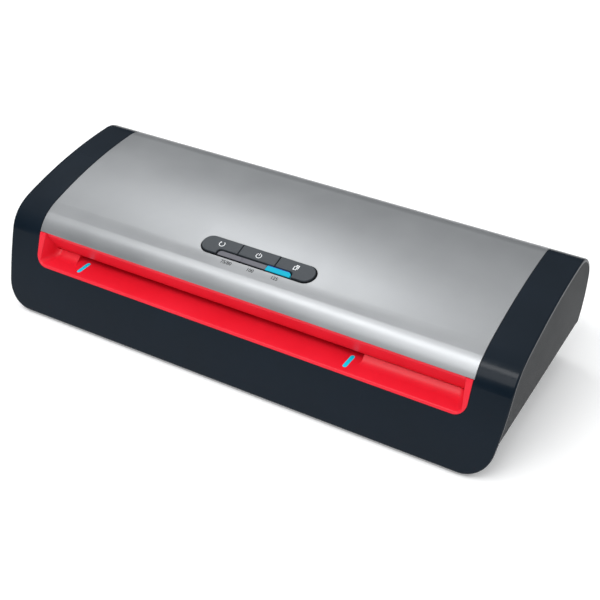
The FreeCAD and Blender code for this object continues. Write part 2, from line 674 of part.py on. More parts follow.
def feed_guide_lower():
    """Red lower guide: rim, side walls and floor of the feed recess, up to the slot."""
    block = mouth_block(0, -DEPTH, MOUTH_BACK_Y, COVER_LIP_Z - 0.2)
    flush = x_prism([(front_y(0) - RIM_PROUD, 0), (front_y(80) - RIM_PROUD, 80), (0, 80), (0, 0)], -200, 200)
    guide = block.common(flush).common(side_prism(-RIM_PROUD, -200, 200)).cut(recess_space())
    slot = box((PATH_X - SLOT_HALF, -70, FLOOR_Z), (PATH_X + SLOT_HALF, MOUTH_BACK_Y + 1, 60))

    def slot_end(edge):
        b = edge.BoundBox
        return b.XLength < 0.01 and b.ZLength < 0.01 and abs(b.ZMin - FLOOR_Z) < 0.01

    guide = guide.cut(round_edges(slot, 1.6, slot_end))
    for x, y in FRONT_SCREWS:
        column = post(x, y, 4.0, seam_z(y) + 0.4, MOUTH_BOTTOM_Z + 0.6)
        guide = guide.fuse(column.cut(post(x, y, SCREW_HOLE_R, 0, MOUTH_BOTTOM_Z + 0.2)))

    def rim_edge(edge):
        b = edge.BoundBox
        middle = edge.valueAt((edge.FirstParameter + edge.LastParameter) / 2)
        on_face = abs(middle.y - front_y(middle.z) + RIM_PROUD) < 0.05
        inside = max(-b.XMin, b.XMax) < MOUTH_HALF - 1 and middle.z > FLOOR_Z - 0.1
        return on_face and inside and b.ZMax < COVER_LIP_Z - 1.3

    return round_edges(guide, RIM_ROUND, rim_edge)


def size_marks():
    """Two pale blue lines inlaid in the feed floor, at the edges of the widest sheet."""
    marks = []
    for side in (-1, 1):
        x = PATH_X + side * MARK_OFFSET
        low, high = MARK_Y
        bar = box((x - MARK_R, low, FLOOR_Z - 0.6), (x + MARK_R, high, FLOOR_Z + 0.05))
        for y in (low, high):
            bar = bar.fuse(post(x, y, MARK_R, FLOOR_Z - 0.6, FLOOR_Z + 0.05))
        marks.append(bar.removeSplitter())
    return Part.makeCompound(marks)


def exit_guide():
    """Black frame that lines the exit slot through the rear wall."""
    outer = exit_block(1.9, 55, 90)
    collar = exit_block(3.4, 55, 90)
    shape = outer.common(side_prism(-0.6, -200, 200))
    shape = shape.fuse(collar.common(side_prism(-0.6, -200, 200)).cut(side_prism(0, -200, 200)))
    shape = shape.cut(box((-BLOCK_X, 0, 0), (BLOCK_X, EXIT_IN_Y, BLOCK_TOP)))
    return shape.cut(exit_block(0, 50, 95))


def path_guides():
    """Upper and lower guides between the roller pairs, and on to the exit."""
    half = ROLLER_HALF - 1
    low_x, high_x = PATH_X - half, PATH_X + half
    lower = []
    upper = []
    for y0, y1 in ((6.5, 20.0), (48.5, 57.5)):
        flat = PAPER_Z - 1.4
        outline = [(y0, flat - 1.4), (y0 + 2, flat), (y1, flat), (y1, flat - 2.0), (y0, flat - 2.6)]
        lower.append(x_prism(outline, low_x, high_x))
        upper.append(x_prism([(y, 2 * PAPER_Z - z) for y, z in outline], low_x, high_x))
    return Part.makeCompound(lower), Part.makeCompound(upper)


# ---- controls ---------------------------------------------------------------------
def pill_local(low_x, high_x, inset, low, high):
    """The part of the panel's stadium between two X positions, in its own frame."""
    shape = stadium(PILL_HALF - inset, PILL_R - inset, low, high)
    return shape.common(box((low_x, -20, low - 1), (high_x, 20, high + 1)))


def notch(grow, low, high):
    """The rounded bay in the lower edge of the buttons where the light bars sit."""
    half = NOTCH_HALF + grow
    top = NOTCH_TOP + grow
    bay = box((-half, -14, low), (half, top, high))

    def corner(edge):
        b = edge.BoundBox
        return b.ZLength > 1 and b.YMin > -10

    return round_edges(bay, 2.6, corner)


def control_bezel():
    """Dark tray of the control panel: thin rim, floor, stem holes and light wells."""
    bezel = stadium(PILL_HALF, PILL_R, -3.4, 0.15).cut(stadium(PILL_HALF - 0.5, PILL_R - 0.5, -2.1, 2))
    for x in stem_spots():
        bezel = bezel.cut(Part.makeCylinder(2.4, 10, V(x, 1.6, -6), Z_AXIS))
    for x in bar_spots():
        bezel = bezel.cut(box((x - 1.6, -6.4, -6), (x + 1.6, -4.4, 0)))
    return pill_place(bezel)


def stem_spots():
    """X of each button's stem, in the panel's frame."""
    return [(a + b) / 2 for a, b in zip(BUTTON_EDGES, BUTTON_EDGES[1:])]


def bar_spots():
    """X of each light bar's middle, in the panel's frame."""
    pitch = 2 * NOTCH_HALF / BAR_COUNT
    return [-NOTCH_HALF + pitch * (i + 0.5) for i in range(BAR_COUNT)]


def button(index):
    """One key of the control panel, with the stem that reaches its switch."""
    low_x = BUTTON_EDGES[index] + (BUTTON_GAP / 2 if index else -2)
    high_x = BUTTON_EDGES[index + 1] - (BUTTON_GAP / 2 if index < 2 else -2)
    key = pill_local(low_x, high_x, 0.8, -1.1, BUTTON_TOP).cut(notch(0.9, -5, 5))

    def top_edge(edge):
        return edge.BoundBox.ZMin > BUTTON_TOP - 0.01

    key = round_edges(key, 0.5, top_edge)
    stem = Part.makeCylinder(2.0, -1.1 - STEM_END, V(stem_spots()[index], 1.6, STEM_END), Z_AXIS)
    return pill_place(key.fuse(stem))


def light_bar(index):
    """One translucent bar with a light pipe that reaches down to its lamp."""
    pitch = 2 * NOTCH_HALF / BAR_COUNT
    x = bar_spots()[index]
    bar = pill_local(x - pitch / 2 + 0.12, x + pitch / 2 - 0.12, 0.7, -2.05, 0.55)
    bar = bar.common(notch(0, -5, 5))
    pipe = box((x - 1.4, -6.2, -7.2), (x + 1.4, -4.6, -2.0))
    return pill_place(bar.fuse(pipe))


def control_board():
    """Circuit board under the control panel."""
    return pill_place(box((-42, -14, BOARD_TOP - 1.6), (42, 14, BOARD_TOP)))


def board_switches():
    """Three push switches under the buttons' stems."""
    parts = []
    for x in stem_spots():
        case = box((x - 3, -1.4, BOARD_TOP), (x + 3, 4.6, BOARD_TOP + 3.0))
        plunger = Part.makeCylinder(1.6, 0.9, V(x, 1.6, BOARD_TOP + 3.0), Z_AXIS)
        parts.append(pill_place(case.fuse(plunger)))
    return Part.makeCompound(parts)


def board_lamps():
    """Three lamps under the light pipes."""
    lamps = [box((x - 1.4, -6.3, BOARD_TOP), (x + 1.4, -4.5, BOARD_TOP + 1.6)) for x in bar_spots()]
    return Part.makeCompound([pill_place(lamp) for lamp in lamps])


# ---- frame and rollers ------------------------------------------------------------
def axle_spots():
    """(y, z) of the four roller axles: heat lower, heat upper, pull lower, pull upper."""
    return [(HEAT_Y, LOW_Z), (HEAT_Y, HIGH_Z), (PULL_Y, LOW_Z), (PULL_Y, HIGH_Z)]


def frame_plate(x):
    """Steel side plate that carries the rollers' bushings."""
    plate = x_prism(PLATE_OUTLINE, x - PLATE_T / 2, x + PLATE_T / 2)
    for y, z in axle_spots():
        plate = plate.cut(x_rod(y, z, BUSH_R, x - 5, x + 5))
        if z > PAPER_Z:
            window = box((x - 5, y - BUSH_R, z), (x + 5, y + BUSH_R, z + BUSH_R + SPRING_ROOM))
            plate = plate.cut(window)
    for y in PLATE_FEET_Y:
        plate = plate.fuse(box((x - 7, y - 4.5, PLATE_FOOT_Z), (x + 7, y + 4.5, PLATE_FOOT_Z + 1.6)))
    for y, z in ROD_SPOTS:
        plate = plate.cut(x_rod(y, z, ROD_R - 0.8, x - 5, x + 5))
    return plate


def bushings(x):
    """The four flanged bushings of one side plate."""
    inner = 1 if x < PATH_X else -1
    parts = []
    for y, z in axle_spots():
        sleeve = x_rod(y, z, BUSH_R, x - 2.0, x + 2.0)
        flange_x = x + inner * PLATE_T / 2
        low, high = sorted((flange_x, flange_x + inner * 1.2))
        bush = sleeve.fuse(x_rod(y, z, BUSH_R + 1.5, low, high))
        parts.append(bush.cut(x_rod(y, z, JOURNAL_R + RUN_FIT, x - 9, x + 9)))
    return parts


def pressure_springs():
    """Four bent leaf springs that press the upper bushings down."""
    parts = []
    for x, side in ((PLATE_LEFT_X, -1), (PLATE_RIGHT_X, 1)):
        for y in (HEAT_Y, PULL_Y):
            low, high = x - 2.0, x + 2.0
            foot_z = HIGH_Z + BUSH_R
            bent = [(-0.5, 0.05), (0.5, 0.05), (4.6, 3.6), (4.6, 4.4), (0, 0.95), (-4.6, 4.4), (-4.6, 3.6)]
            leaf = x_prism([(y + across, foot_z + rise) for across, rise in bent], low, high)
            keeper = box((low, y - 4.7, foot_z + 4.0), (high, y + 4.7, foot_z + SPRING_ROOM - 0.1))
            inside = box((x - 0.95, y - 4.9, foot_z), (x + 0.95, y + 4.9, foot_z + SPRING_ROOM))
            parts.append(leaf.fuse(keeper).common(inside))
    return Part.makeCompound(parts)


def tie_rods():
    """Three spacer rods that hold the side plates apart."""
    low, high = PLATE_LEFT_X + PLATE_T / 2, PLATE_RIGHT_X - PLATE_T / 2
    return Part.makeCompound([x_rod(y, z, ROD_R, low, high) for y, z in ROD_SPOTS])


def roller_shaft(y, z):
    """Stepped steel shaft with a journal at each end; the right end carries a gear."""
    shaft = x_rod(y, z, SHAFT_R, PLATE_LEFT_X + 4.0, PLATE_RIGHT_X - 4.0)
    return shaft.fuse(x_rod(y, z, JOURNAL_R, PLATE_LEFT_X - 3.0, GEAR_X + GEAR_T + 0.6))


def roller_sleeve(y, z):
    """Silicone sleeve on a roller shaft."""
    sleeve = x_tube(y, z, ROLLER_R, SHAFT_R, PATH_X - ROLLER_HALF, PATH_X + ROLLER_HALF)
    rims = [e for e in sleeve.Edges if abs(e.BoundBox.YLength - 2 * ROLLER_R) < 0.01]
    return sleeve.makeChamfer(0.8, [e for e in rims if e.BoundBox.XLength < 0.01])


def heater_shoe(y, z, up):
    """Curved aluminium heating shoe around the outer side of a heat roller."""
    low_x, high_x = PATH_X - ROLLER_HALF + 3, PATH_X + ROLLER_HALF - 3
    shoe = x_tube(y, z, ROLLER_R + SHOE_GAP + SHOE_T, ROLLER_R + SHOE_GAP, low_x, high_x)
    side = 1 if up else -1
    keep_z = sorted((z + side * 1.0, z + side * 40))
    shoe = shoe.common(box((low_x, y - 30, keep_z[0]), (high_x, y + 30, keep_z[1])))
    pad_z = sorted((z + side * (SHOE_BACK - 2.2), z + side * SHOE_BACK))
    pad = box((low_x, y - 6, pad_z[0]), (high_x, y + 6, pad_z[1]))
    for end in (low_x, high_x):
        way = -1 if end == low_x else 1
        tab = sorted((end, end + way * 15.0))
        ear = box((tab[0], y - 5, pad_z[0]), (tab[1], y + 5, pad_z[1]))
        pad = pad.fuse(ear)
    return shoe.fuse(pad)


def heater_strip(y, z, up):
    """Flat heating element clamped on the back of a shoe."""
    side = 1 if up else -1
    span = sorted((z + side * SHOE_BACK, z + side * (SHOE_BACK + STRIP_T)))
    return box((PATH_X - 108, y - 4.5, span[0]), (PATH_X + 108, y + 4.5, span[1]))


def thermostat():
    """Round thermostat on the upper heating shoe's element."""
    z = HIGH_Z + SHOE_BACK + STRIP_T
    body = post(PATH_X + 30, HEAT_Y, 4.2, z, z + 2.6)
    tabs = box((PATH_X + 22, HEAT_Y - 1.5, z + 0.8), (PATH_X + 38, HEAT_Y + 1.5, z + 1.4))
    return body.fuse(tabs)


def thermal_fuse():
    """One-shot thermal fuse on the upper heating shoe's element."""
    z = HIGH_Z + SHOE_BACK + STRIP_T
    low = PATH_X - 42
    return x_rod(HEAT_Y, z + 1.5, 1.5, low, low + 12).fuse(x_rod(HEAT_Y, z + 1.5, 0.5, low - 8, low + 20))


# ---- gears ------------------------------------------------------------------------
def gear_outline(teeth, phase):
    """Points of an involute gear's edge, with the first tooth centred on phase degrees."""
    pitch_r = MODULE * teeth / 2
    base_r = pitch_r * math.cos(math.radians(20))
    tip_r = pitch_r + 0.92 * MODULE
    root_r = pitch_r - 1.2 * MODULE
    thin = 0.07 / pitch_r

    def involute(r):
        roll = math.sqrt(max((r / base_r) ** 2 - 1, 0))
        return roll - math.atan(roll)

    half = math.pi / (2 * teeth) + involute(pitch_r) - thin
    start_r = max(base_r, root_r)
    steps = 5
    radii = [start_r + (tip_r - start_r) * i / steps for i in range(steps + 1)]
    points = []
    for tooth in range(teeth):
        centre = math.radians(phase) + 2 * math.pi * tooth / teeth
        flank = [(r, half - involute(r)) for r in radii]
        if root_r < start_r:
            flank.insert(0, (root_r, half + 0.01))
        points += [(r, centre - a) for r, a in flank]
        points += [(r, centre + a) for r, a in reversed(flank)]
    return points


def gear(y, z, teeth, phase, bore):
    """A spur gear about the X axis with a plain bore and a thinned web."""
    corners = [V(GEAR_X, y + r * math.cos(a), z + r * math.sin(a)) for r, a in gear_outline(teeth, phase)]
    blank = Part.Face(Part.makePolygon(corners + [corners[0]])).extrude(V(GEAR_T, 0, 0))
    rim_r = MODULE * teeth / 2 - 2.8
    if rim_r > 6:
        web = x_tube(y, z, rim_r, 5.2, GEAR_X + GEAR_T - 1.6, GEAR_X + GEAR_T + 1)
        blank = blank.cut(web)
    return blank.cut(x_rod(y, z, bore, GEAR_X - 1, GEAR_X + GEAR_T + 1))


def mesh_phase(phase, teeth, other_teeth, bearing):
    """Phase of a gear that meshes with another, seen along the bearing to it, in degrees."""
    ahead = (bearing - phase) % (360.0 / teeth)
    return bearing + 180 + 180.0 / other_teeth + ahead * teeth / other_teeth


def gear_spots():
    """Centre, teeth and phase of every gear, by name."""
    first = 0.0
    heat = (HEAT_Y, LOW_Z)
    idler_reach = MODULE * (ROLLER_TEETH + IDLER_TEETH) / 2 + MESH_SLACK
    idler = (HEAT_Y + idler_reach, LOW_Z)
    reach = MODULE * (ROLLER_TEETH + PINION_TEETH) / 2 + MESH_SLACK
    angle = math.radians(PINION_ANGLE)
    pinion = (HEAT_Y + reach * math.cos(angle), LOW_Z + reach * math.sin(angle))
    idler_phase = mesh_phase(first, ROLLER_TEETH, IDLER_TEETH, 0)
    pull_phase = mesh_phase(idler_phase, IDLER_TEETH, ROLLER_TEETH, 0)
    heat_phase = mesh_phase(first, ROLLER_TEETH, ROLLER_TEETH, 90)
    pull_upper_phase = mesh_phase(pull_phase, ROLLER_TEETH, ROLLER_TEETH, 90)
    pinion_phase = mesh_phase(first, ROLLER_TEETH, PINION_TEETH, PINION_ANGLE)
    return {
        "heat_gear_lower": (heat, ROLLER_TEETH, first),
        "heat_gear_upper": ((HEAT_Y, HIGH_Z), ROLLER_TEETH, heat_phase),
        "idler_gear": (idler, IDLER_TEETH, idler_phase),
        "pull_gear_lower": ((PULL_Y, LOW_Z), ROLLER_TEETH, pull_phase),
        "pull_gear_upper": ((PULL_Y, HIGH_Z), ROLLER_TEETH, pull_upper_phase),
        "motor_pinion": (pinion, PINION_TEETH, pinion_phase),
    }


def idler_pin():
    """Fixed pin in the right side plate that the idler gear turns on."""
    (y, z), _, _ = gear_spots()["idler_gear"]
    pin = x_rod(y, z, IDLER_PIN_R, PLATE_RIGHT_X + PLATE_T / 2, GEAR_X + GEAR_T + 1.0)
    collar = x_rod(y, z, 5.0, PLATE_RIGHT_X + PLATE_T / 2, GEAR_X - 0.4)
    return pin.fuse(collar)


def motor_bracket():
    """Plate outside the gears that carries the gearbox, on two spacers."""
    (py, pz), _, _ = gear_spots()["motor_pinion"]
    plate = x_prism(BRACKET_OUTLINE, BRACKET_X, BRACKET_X + BRACKET_T)
    plate = plate.cut(x_rod(py, pz, PINION_SHAFT_R + 1.0, BRACKET_X - 1, BRACKET_X + 3))
    for y, z in BRACKET_POSTS:
        plate = plate.fuse(x_rod(y, z, 2.4, PLATE_RIGHT_X + PLATE_T / 2, BRACKET_X))
    return plate


def gearbox():
    """Reduction gearbox on the bracket."""
    (py, pz), _, _ = gear_spots()["motor_pinion"]
    case = x_rod(py, pz, GEARBOX_R, BRACKET_X + BRACKET_T, BRACKET_X + BRACKET_T + GEARBOX_T)
    case = case.makeFillet(1.0, [e for e in case.Edges if e.BoundBox.XLength < 0.01])
    return case.cut(x_rod(py, pz, PINION_SHAFT_R + 0.6, BRACKET_X, BRACKET_X + 12))


def drive_motor():
    """Motor can behind the gearbox."""
    (py, pz), _, _ = gear_spots()["motor_pinion"]
    start = BRACKET_X + BRACKET_T + GEARBOX_T
    end = start + MOTOR_LENGTH
    can = x_rod(py, pz, MOTOR_R, start, end)
    can = can.makeFillet(1.6, [e for e in can.Edges if e.BoundBox.XMin > end - 1])
    return can.fuse(x_rod(py, pz, 4.0, end, end + 2.5))


def motor_pinion():
    """Output shaft of the gearbox with its pinion."""
    (y, z), teeth, phase = gear_spots()["motor_pinion"]
    shaft = x_rod(y, z, PINION_SHAFT_R, GEAR_X - 1.0, BRACKET_X + 11)
    return gear(y, z, teeth, phase, 1.0).fuse(shaft)


# ---- power board and fasteners ----------------------------------------------------
def power_board():
    """Mains and motor driver board on the tray's posts."""
    return box(*BOARD_BOX)


def board_parts():
    """Transformer, capacitor, relay and terminal block on the power board."""
    z = BOARD_BOX[1][2]
    return Part.makeCompound([
        box((136, 34, z), (158, 52, z + 16)),
        post(162, 8, 4.0, z, z + 14),
        box((136, 2, z), (154, 12, z + 10)),
        box((138, 18, z), (164, 26, z + 7)),
    ])


def frame_screws():
    """Screws through the side plates into the tie rods' ends."""
    parts = []
    for y, z in ROD_SPOTS:
        for x, way in ((PLATE_LEFT_X, -1), (PLATE_RIGHT_X, 1)):
            face = x + way * PLATE_T / 2
            low, high = sorted((face, face + way * 1.8))
            shank_low, shank_high = sorted((face, x - way * PLATE_T / 2))
            head = x_rod(y, z, 3.4, low, high)
            parts.append(head.fuse(x_rod(y, z, ROD_R - 0.9, shank_low, shank_high)))
    return parts


def base_screws():
    """Five screws that go up through the tray's columns."""
    parts = []
    for x, y in REAR_SCREWS + FRONT_SCREWS:
        head = post(x, y, 3.1, 5.2, 8.0)
        slot = box((x - 2.0, y - 0.4, 5.0), (x + 2.0, y + 0.4, 6.2))
        cross = box((x - 0.4, y - 2.0, 5.0), (x + 0.4, y + 2.0, 6.2))
        shank = post(x, y, SCREW_HOLE_R - 0.05, 8.0, seam_z(y) + 5.0)
        parts.append(head.fuse(shank).cut(slot).cut(cross))
    return parts


def build():
    """Make and write every sub-part."""
    blank = body_blank()
    shell, deck = housing(blank)
    save("housing_shell", shell)
    save("deck_rear", deck)
    save("top_cover", top_cover())
    save("side_panel_left", side_panel(-1))
    save("side_panel_right", side_panel(1))
    tray_floor, tray_walls = base_tray()
    save("base_tray", tray_floor)
    save("tray_walls", tray_walls)
    save("tray_pillars", tray_pillars())
    save("cord_gland", cord_gland())
    names = ["foot_front_left", "foot_rear_left", "foot_front_right", "foot_rear_right"]
    for name, (x, y) in zip(names, foot_spots()):
        save(name, rubber_foot(x, y))
    marks = size_marks()
    upper = feed_guide_upper()
    clearance = upper.copy()
    clearance.translate(V(0, 0, -0.25))
    save("feed_guide_lower", feed_guide_lower().cut(marks).cut(clearance))
    save("feed_guide_upper", upper)
    save("size_marks", marks)
    save("exit_guide", exit_guide())
    path_lower, path_upper = path_guides()
    save("path_guide_lower", path_lower)
    save("path_guide_upper", path_upper)
    save("control_bezel", control_bezel())
    for i, name in enumerate(("button_reverse", "button_power", "button_mode")):
        save(name, button(i))
    for i, name in enumerate(("light_bar_thin", "light_bar_medium", "light_bar_thick")):
        save(name, light_bar(i))
    save("control_board", control_board())
    save("board_switches", board_switches())
    save("board_lamps", board_lamps())
    save("frame_plate_left", frame_plate(PLATE_LEFT_X))
    save("frame_plate_right", frame_plate(PLATE_RIGHT_X))
    save("bushings", Part.makeCompound(bushings(PLATE_LEFT_X) + bushings(PLATE_RIGHT_X)))
    save("pressure_springs", pressure_springs())
    save("tie_rods", tie_rods())
    for name, (y, z) in zip(("heat_lower", "heat_upper", "pull_lower", "pull_upper"), axle_spots()):
        save(name + "_shaft", roller_shaft(y, z))
        save(name + "_sleeve", roller_sleeve(y, z))
    save("heater_shoe_lower", heater_shoe(HEAT_Y, LOW_Z, False))
    save("heater_shoe_upper", heater_shoe(HEAT_Y, HIGH_Z, True))
    strips = [heater_strip(HEAT_Y, LOW_Z, False), heater_strip(HEAT_Y, HIGH_Z, True)]
    save("heater_strips", Part.makeCompound(strips))
    save("thermostat", thermostat())
    save("thermal_fuse", thermal_fuse())
    for name, ((y, z), teeth, phase) in gear_spots().items():
        if name == "motor_pinion":
            save(name, motor_pinion())
        else:
            bore = IDLER_PIN_R + RUN_FIT if name == "idler_gear" else JOURNAL_R
            save(name, gear(y, z, teeth, phase, bore))
    save("idler_pin", idler_pin())
    save("motor_bracket", motor_bracket())
    save("gearbox", gearbox())
    save("drive_motor", drive_motor())
    save("power_board", power_board())
    save("board_parts", board_parts())
    save("machine_screws", Part.makeCompound(frame_screws() + base_screws()))


build()
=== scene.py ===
import math

import bmesh
import bpy
from mathutils import Matrix, Vector


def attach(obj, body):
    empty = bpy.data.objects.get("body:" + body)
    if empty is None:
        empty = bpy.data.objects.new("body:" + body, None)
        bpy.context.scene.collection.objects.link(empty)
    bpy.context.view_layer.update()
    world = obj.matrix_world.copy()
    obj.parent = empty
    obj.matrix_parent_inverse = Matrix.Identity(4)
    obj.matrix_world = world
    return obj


# Looks of the pouch laminator: camera, studio, finishes and the detailed pieces.
# Metres, in the frame's axes: +X to the right, +Y to the rear, +Z up.

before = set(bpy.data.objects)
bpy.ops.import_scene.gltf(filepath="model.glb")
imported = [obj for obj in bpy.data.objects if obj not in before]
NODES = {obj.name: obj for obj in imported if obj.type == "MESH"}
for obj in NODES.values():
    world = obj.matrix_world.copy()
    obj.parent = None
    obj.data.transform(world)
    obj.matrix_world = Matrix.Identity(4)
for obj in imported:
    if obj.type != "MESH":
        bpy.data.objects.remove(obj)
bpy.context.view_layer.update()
MM = 0.001


# ---- camera -------------------------------------------------------------------------
CAMERA_AT = Vector((349.68, -586.99, 492.74)) * MM
CAMERA_AZIMUTH = math.radians(29.663)
CAMERA_ELEVATION = math.radians(34.312)
CAMERA_ROLL = math.radians(0.719)
CAMERA_LENS = 68.391
SENSOR_WIDTH = 36.0
CLIP_NEAR = 0.05
CLIP_FAR = 200.0


def make_camera():
    """Camera at the product view's angle."""
    data = bpy.data.cameras.new("camera")
    data.lens = CAMERA_LENS
    data.sensor_width = SENSOR_WIDTH
    data.clip_start = CLIP_NEAR
    data.clip_end = CLIP_FAR
    camera = bpy.data.objects.new("camera", data)
    bpy.context.scene.collection.objects.link(camera)
    camera.location = CAMERA_AT
    back = Vector((math.sin(CAMERA_AZIMUTH) * math.cos(CAMERA_ELEVATION),
                   -math.cos(CAMERA_AZIMUTH) * math.cos(CAMERA_ELEVATION),
                   math.sin(CAMERA_ELEVATION)))
    turn = (-back).to_track_quat("-Z", "Y").to_matrix().to_4x4()
    camera.matrix_world = Matrix.Translation(CAMERA_AT) @ turn @ Matrix.Rotation(CAMERA_ROLL, 4, "Z")
    bpy.context.scene.camera = camera


# ---- studio -------------------------------------------------------------------------
FLOOR_HALF = 60.0
FLOOR_TONE = 0.93
FLOOR_GLOW = 0.15        # keeps the soft shadows pale
SKY = ((0.0, (0.74, 0.75, 0.77)), (0.03, (0.6, 0.61, 0.63)), (0.1, (0.03, 0.035, 0.04)),
       (0.3, (0.13, 0.14, 0.15)), (0.6, (0.46, 0.47, 0.48)), (0.8, (0.84, 0.85, 0.86)),
       (1.0, (1.0, 1.0, 1.0)))                       # height of the direction, and its colour
LAMPS = (("strip", (-0.3, -0.88, 1.57), (0.0, -0.05, 0.07), (1.5, 0.34), 13.0),
         ("low_strip", (-0.1, -1.5, 1.3), (0.0, -0.05, 0.07), (1.2, 0.7), 8.0),
         ("top", (-0.76, 0.6, 1.57), (0.0, 0.0, 0.08), (0.5, 0.6), 3.9),
         ("right", (1.6, -0.2, 1.5), (0.1, 0.0, 0.04), (1.2, 1.2), 7.0))   # name, at, target, size, watts


def area_light(name, at, target, size, power):
    """Soft rectangular lamp that faces a point."""
    data = bpy.data.lights.new(name, "AREA")
    data.shape = "RECTANGLE"
    data.size, data.size_y = size
    data.energy = power
    lamp = bpy.data.objects.new(name, data)
    bpy.context.scene.collection.objects.link(lamp)
    lamp.location = at
    lamp.rotation_euler = (Vector(target) - Vector(at)).to_track_quat("-Z", "Y").to_euler()


def make_sky():
    """Surroundings: a pale line at the horizon, dim above it and bright overhead."""
    world = bpy.data.worlds.new("studio")
    bpy.context.scene.world = world
    world.use_nodes = True
    tree = world.node_tree
    tree.nodes.clear()
    coord = tree.nodes.new("ShaderNodeTexCoord")
    split = tree.nodes.new("ShaderNodeSeparateXYZ")
    ramp = tree.nodes.new("ShaderNodeValToRGB")
    for at, colour in SKY:
        stop = ramp.color_ramp.elements.new(at)
        stop.color = (*colour, 1)
    ramp.color_ramp.elements.remove(ramp.color_ramp.elements[0])
    ramp.color_ramp.elements.remove(ramp.color_ramp.elements[-1])
    background = tree.nodes.new("ShaderNodeBackground")
    background.inputs["Strength"].default_value = 1.0
    out = tree.nodes.new("ShaderNodeOutputWorld")
    tree.links.new(coord.outputs["Generated"], split.inputs[0])
    tree.links.new(split.outputs["Z"], ramp.inputs[0])
    tree.links.new(ramp.outputs[0], background.inputs["Color"])
    tree.links.new(background.outputs[0], out.inputs["Surface"])


def make_floor():
    """Plain white sweep under the machine."""
    half = FLOOR_HALF
    mesh = bpy.data.meshes.new("floor")
    corners = [(-half, -half, 0), (half, -half, 0), (half, half, 0), (-half, half, 0)]
    mesh.from_pydata(corners, [], [(0, 1, 2, 3)])
    floor = bpy.data.objects.new("floor", mesh)
    bpy.context.scene.collection.objects.link(floor)
    paint = bpy.data.materials.new("floor")
    paint.use_nodes = True
    shader = paint.node_tree.nodes["Principled BSDF"]
    shader.inputs["Base Color"].default_value = (FLOOR_TONE, FLOOR_TONE, FLOOR_TONE, 1)
    shader.inputs["Roughness"].default_value = 0.9
    shader.inputs["Specular IOR Level"].default_value = 0.1
    shader.inputs["Emission Color"].default_value = (1.0, 1.0, 1.0, 1)
    shader.inputs["Emission Strength"].default_value = FLOOR_GLOW
    mesh.materials.append(paint)


def make_studio():
    """Sky, floor, two strip lamps for the nose and two soft lamps."""
    bpy.context.scene.view_settings.view_transform = "Standard"
    make_sky()
    make_floor()
    for lamp in LAMPS:
        area_light(*lamp)


# ---- finishes -----------------------------------------------------------------------
# The bezel takes a darker copy of the shell's finish, painted shade; the lit bar takes its own light.
OWN_FINISH = {"light_bar_thick": "light_lit", "control_bezel": "bezel_painted_shade"}
TONE_SCALE = 28.0        # size of the soft blotches of tone and gloss
TONE_LOW = 0.3           # the noise's usual span
TONE_HIGH = 0.7
GLOSS_SPREAD = 0.03
GRAIN_DEPTH = 0.0002


def finish(name, low, high, roughness, metallic=0.0, grain=900.0, bump=0.05, sockets=None):
    """A procedural finish: two close tones, uneven gloss and a fine grain."""
    made = bpy.data.materials.new(name)
    made.use_nodes = True
    tree = made.node_tree
    shader = tree.nodes["Principled BSDF"]
    coord = tree.nodes.new("ShaderNodeTexCoord")

    tone = tree.nodes.new("ShaderNodeTexNoise")
    tone.inputs["Scale"].default_value = TONE_SCALE
    tone.inputs["Detail"].default_value = 5.0
    tree.links.new(coord.outputs["Object"], tone.inputs["Vector"])
    mix = tree.nodes.new("ShaderNodeValToRGB")
    mix.color_ramp.elements[0].position = TONE_LOW
    mix.color_ramp.elements[0].color = (*low, 1)
    mix.color_ramp.elements[1].position = TONE_HIGH
    mix.color_ramp.elements[1].color = (*high, 1)
    tree.links.new(tone.outputs["Fac"], mix.inputs[0])
    tree.links.new(mix.outputs[0], shader.inputs["Base Color"])

    gloss = tree.nodes.new("ShaderNodeMapRange")
    gloss.inputs["From Min"].default_value = TONE_LOW
    gloss.inputs["From Max"].default_value = TONE_HIGH
    gloss.inputs["To Min"].default_value = roughness - GLOSS_SPREAD
    gloss.inputs["To Max"].default_value = roughness + GLOSS_SPREAD
    tree.links.new(tone.outputs["Fac"], gloss.inputs["Value"])
    tree.links.new(gloss.outputs["Result"], shader.inputs["Roughness"])

    fine = tree.nodes.new("ShaderNodeTexNoise")
    fine.inputs["Scale"].default_value = grain
    fine.inputs["Detail"].default_value = 3.0
    tree.links.new(coord.outputs["Object"], fine.inputs["Vector"])
    relief = tree.nodes.new("ShaderNodeBump")
    relief.inputs["Strength"].default_value = bump
    relief.inputs["Distance"].default_value = GRAIN_DEPTH
    tree.links.new(fine.outputs["Fac"], relief.inputs["Height"])
    tree.links.new(relief.outputs["Normal"], shader.inputs["Normal"])
    shader.inputs["Metallic"].default_value = metallic
    for socket, value in (sockets or {}).items():
        shader.inputs[socket].default_value = value
    return made


def srgb(r, g, b):
    """Linear colour from display values of 0 to 255."""
    return tuple(((c / 255 + 0.055) / 1.055) ** 2.4 if c > 10 else c / 255 / 12.92 for c in (r, g, b))


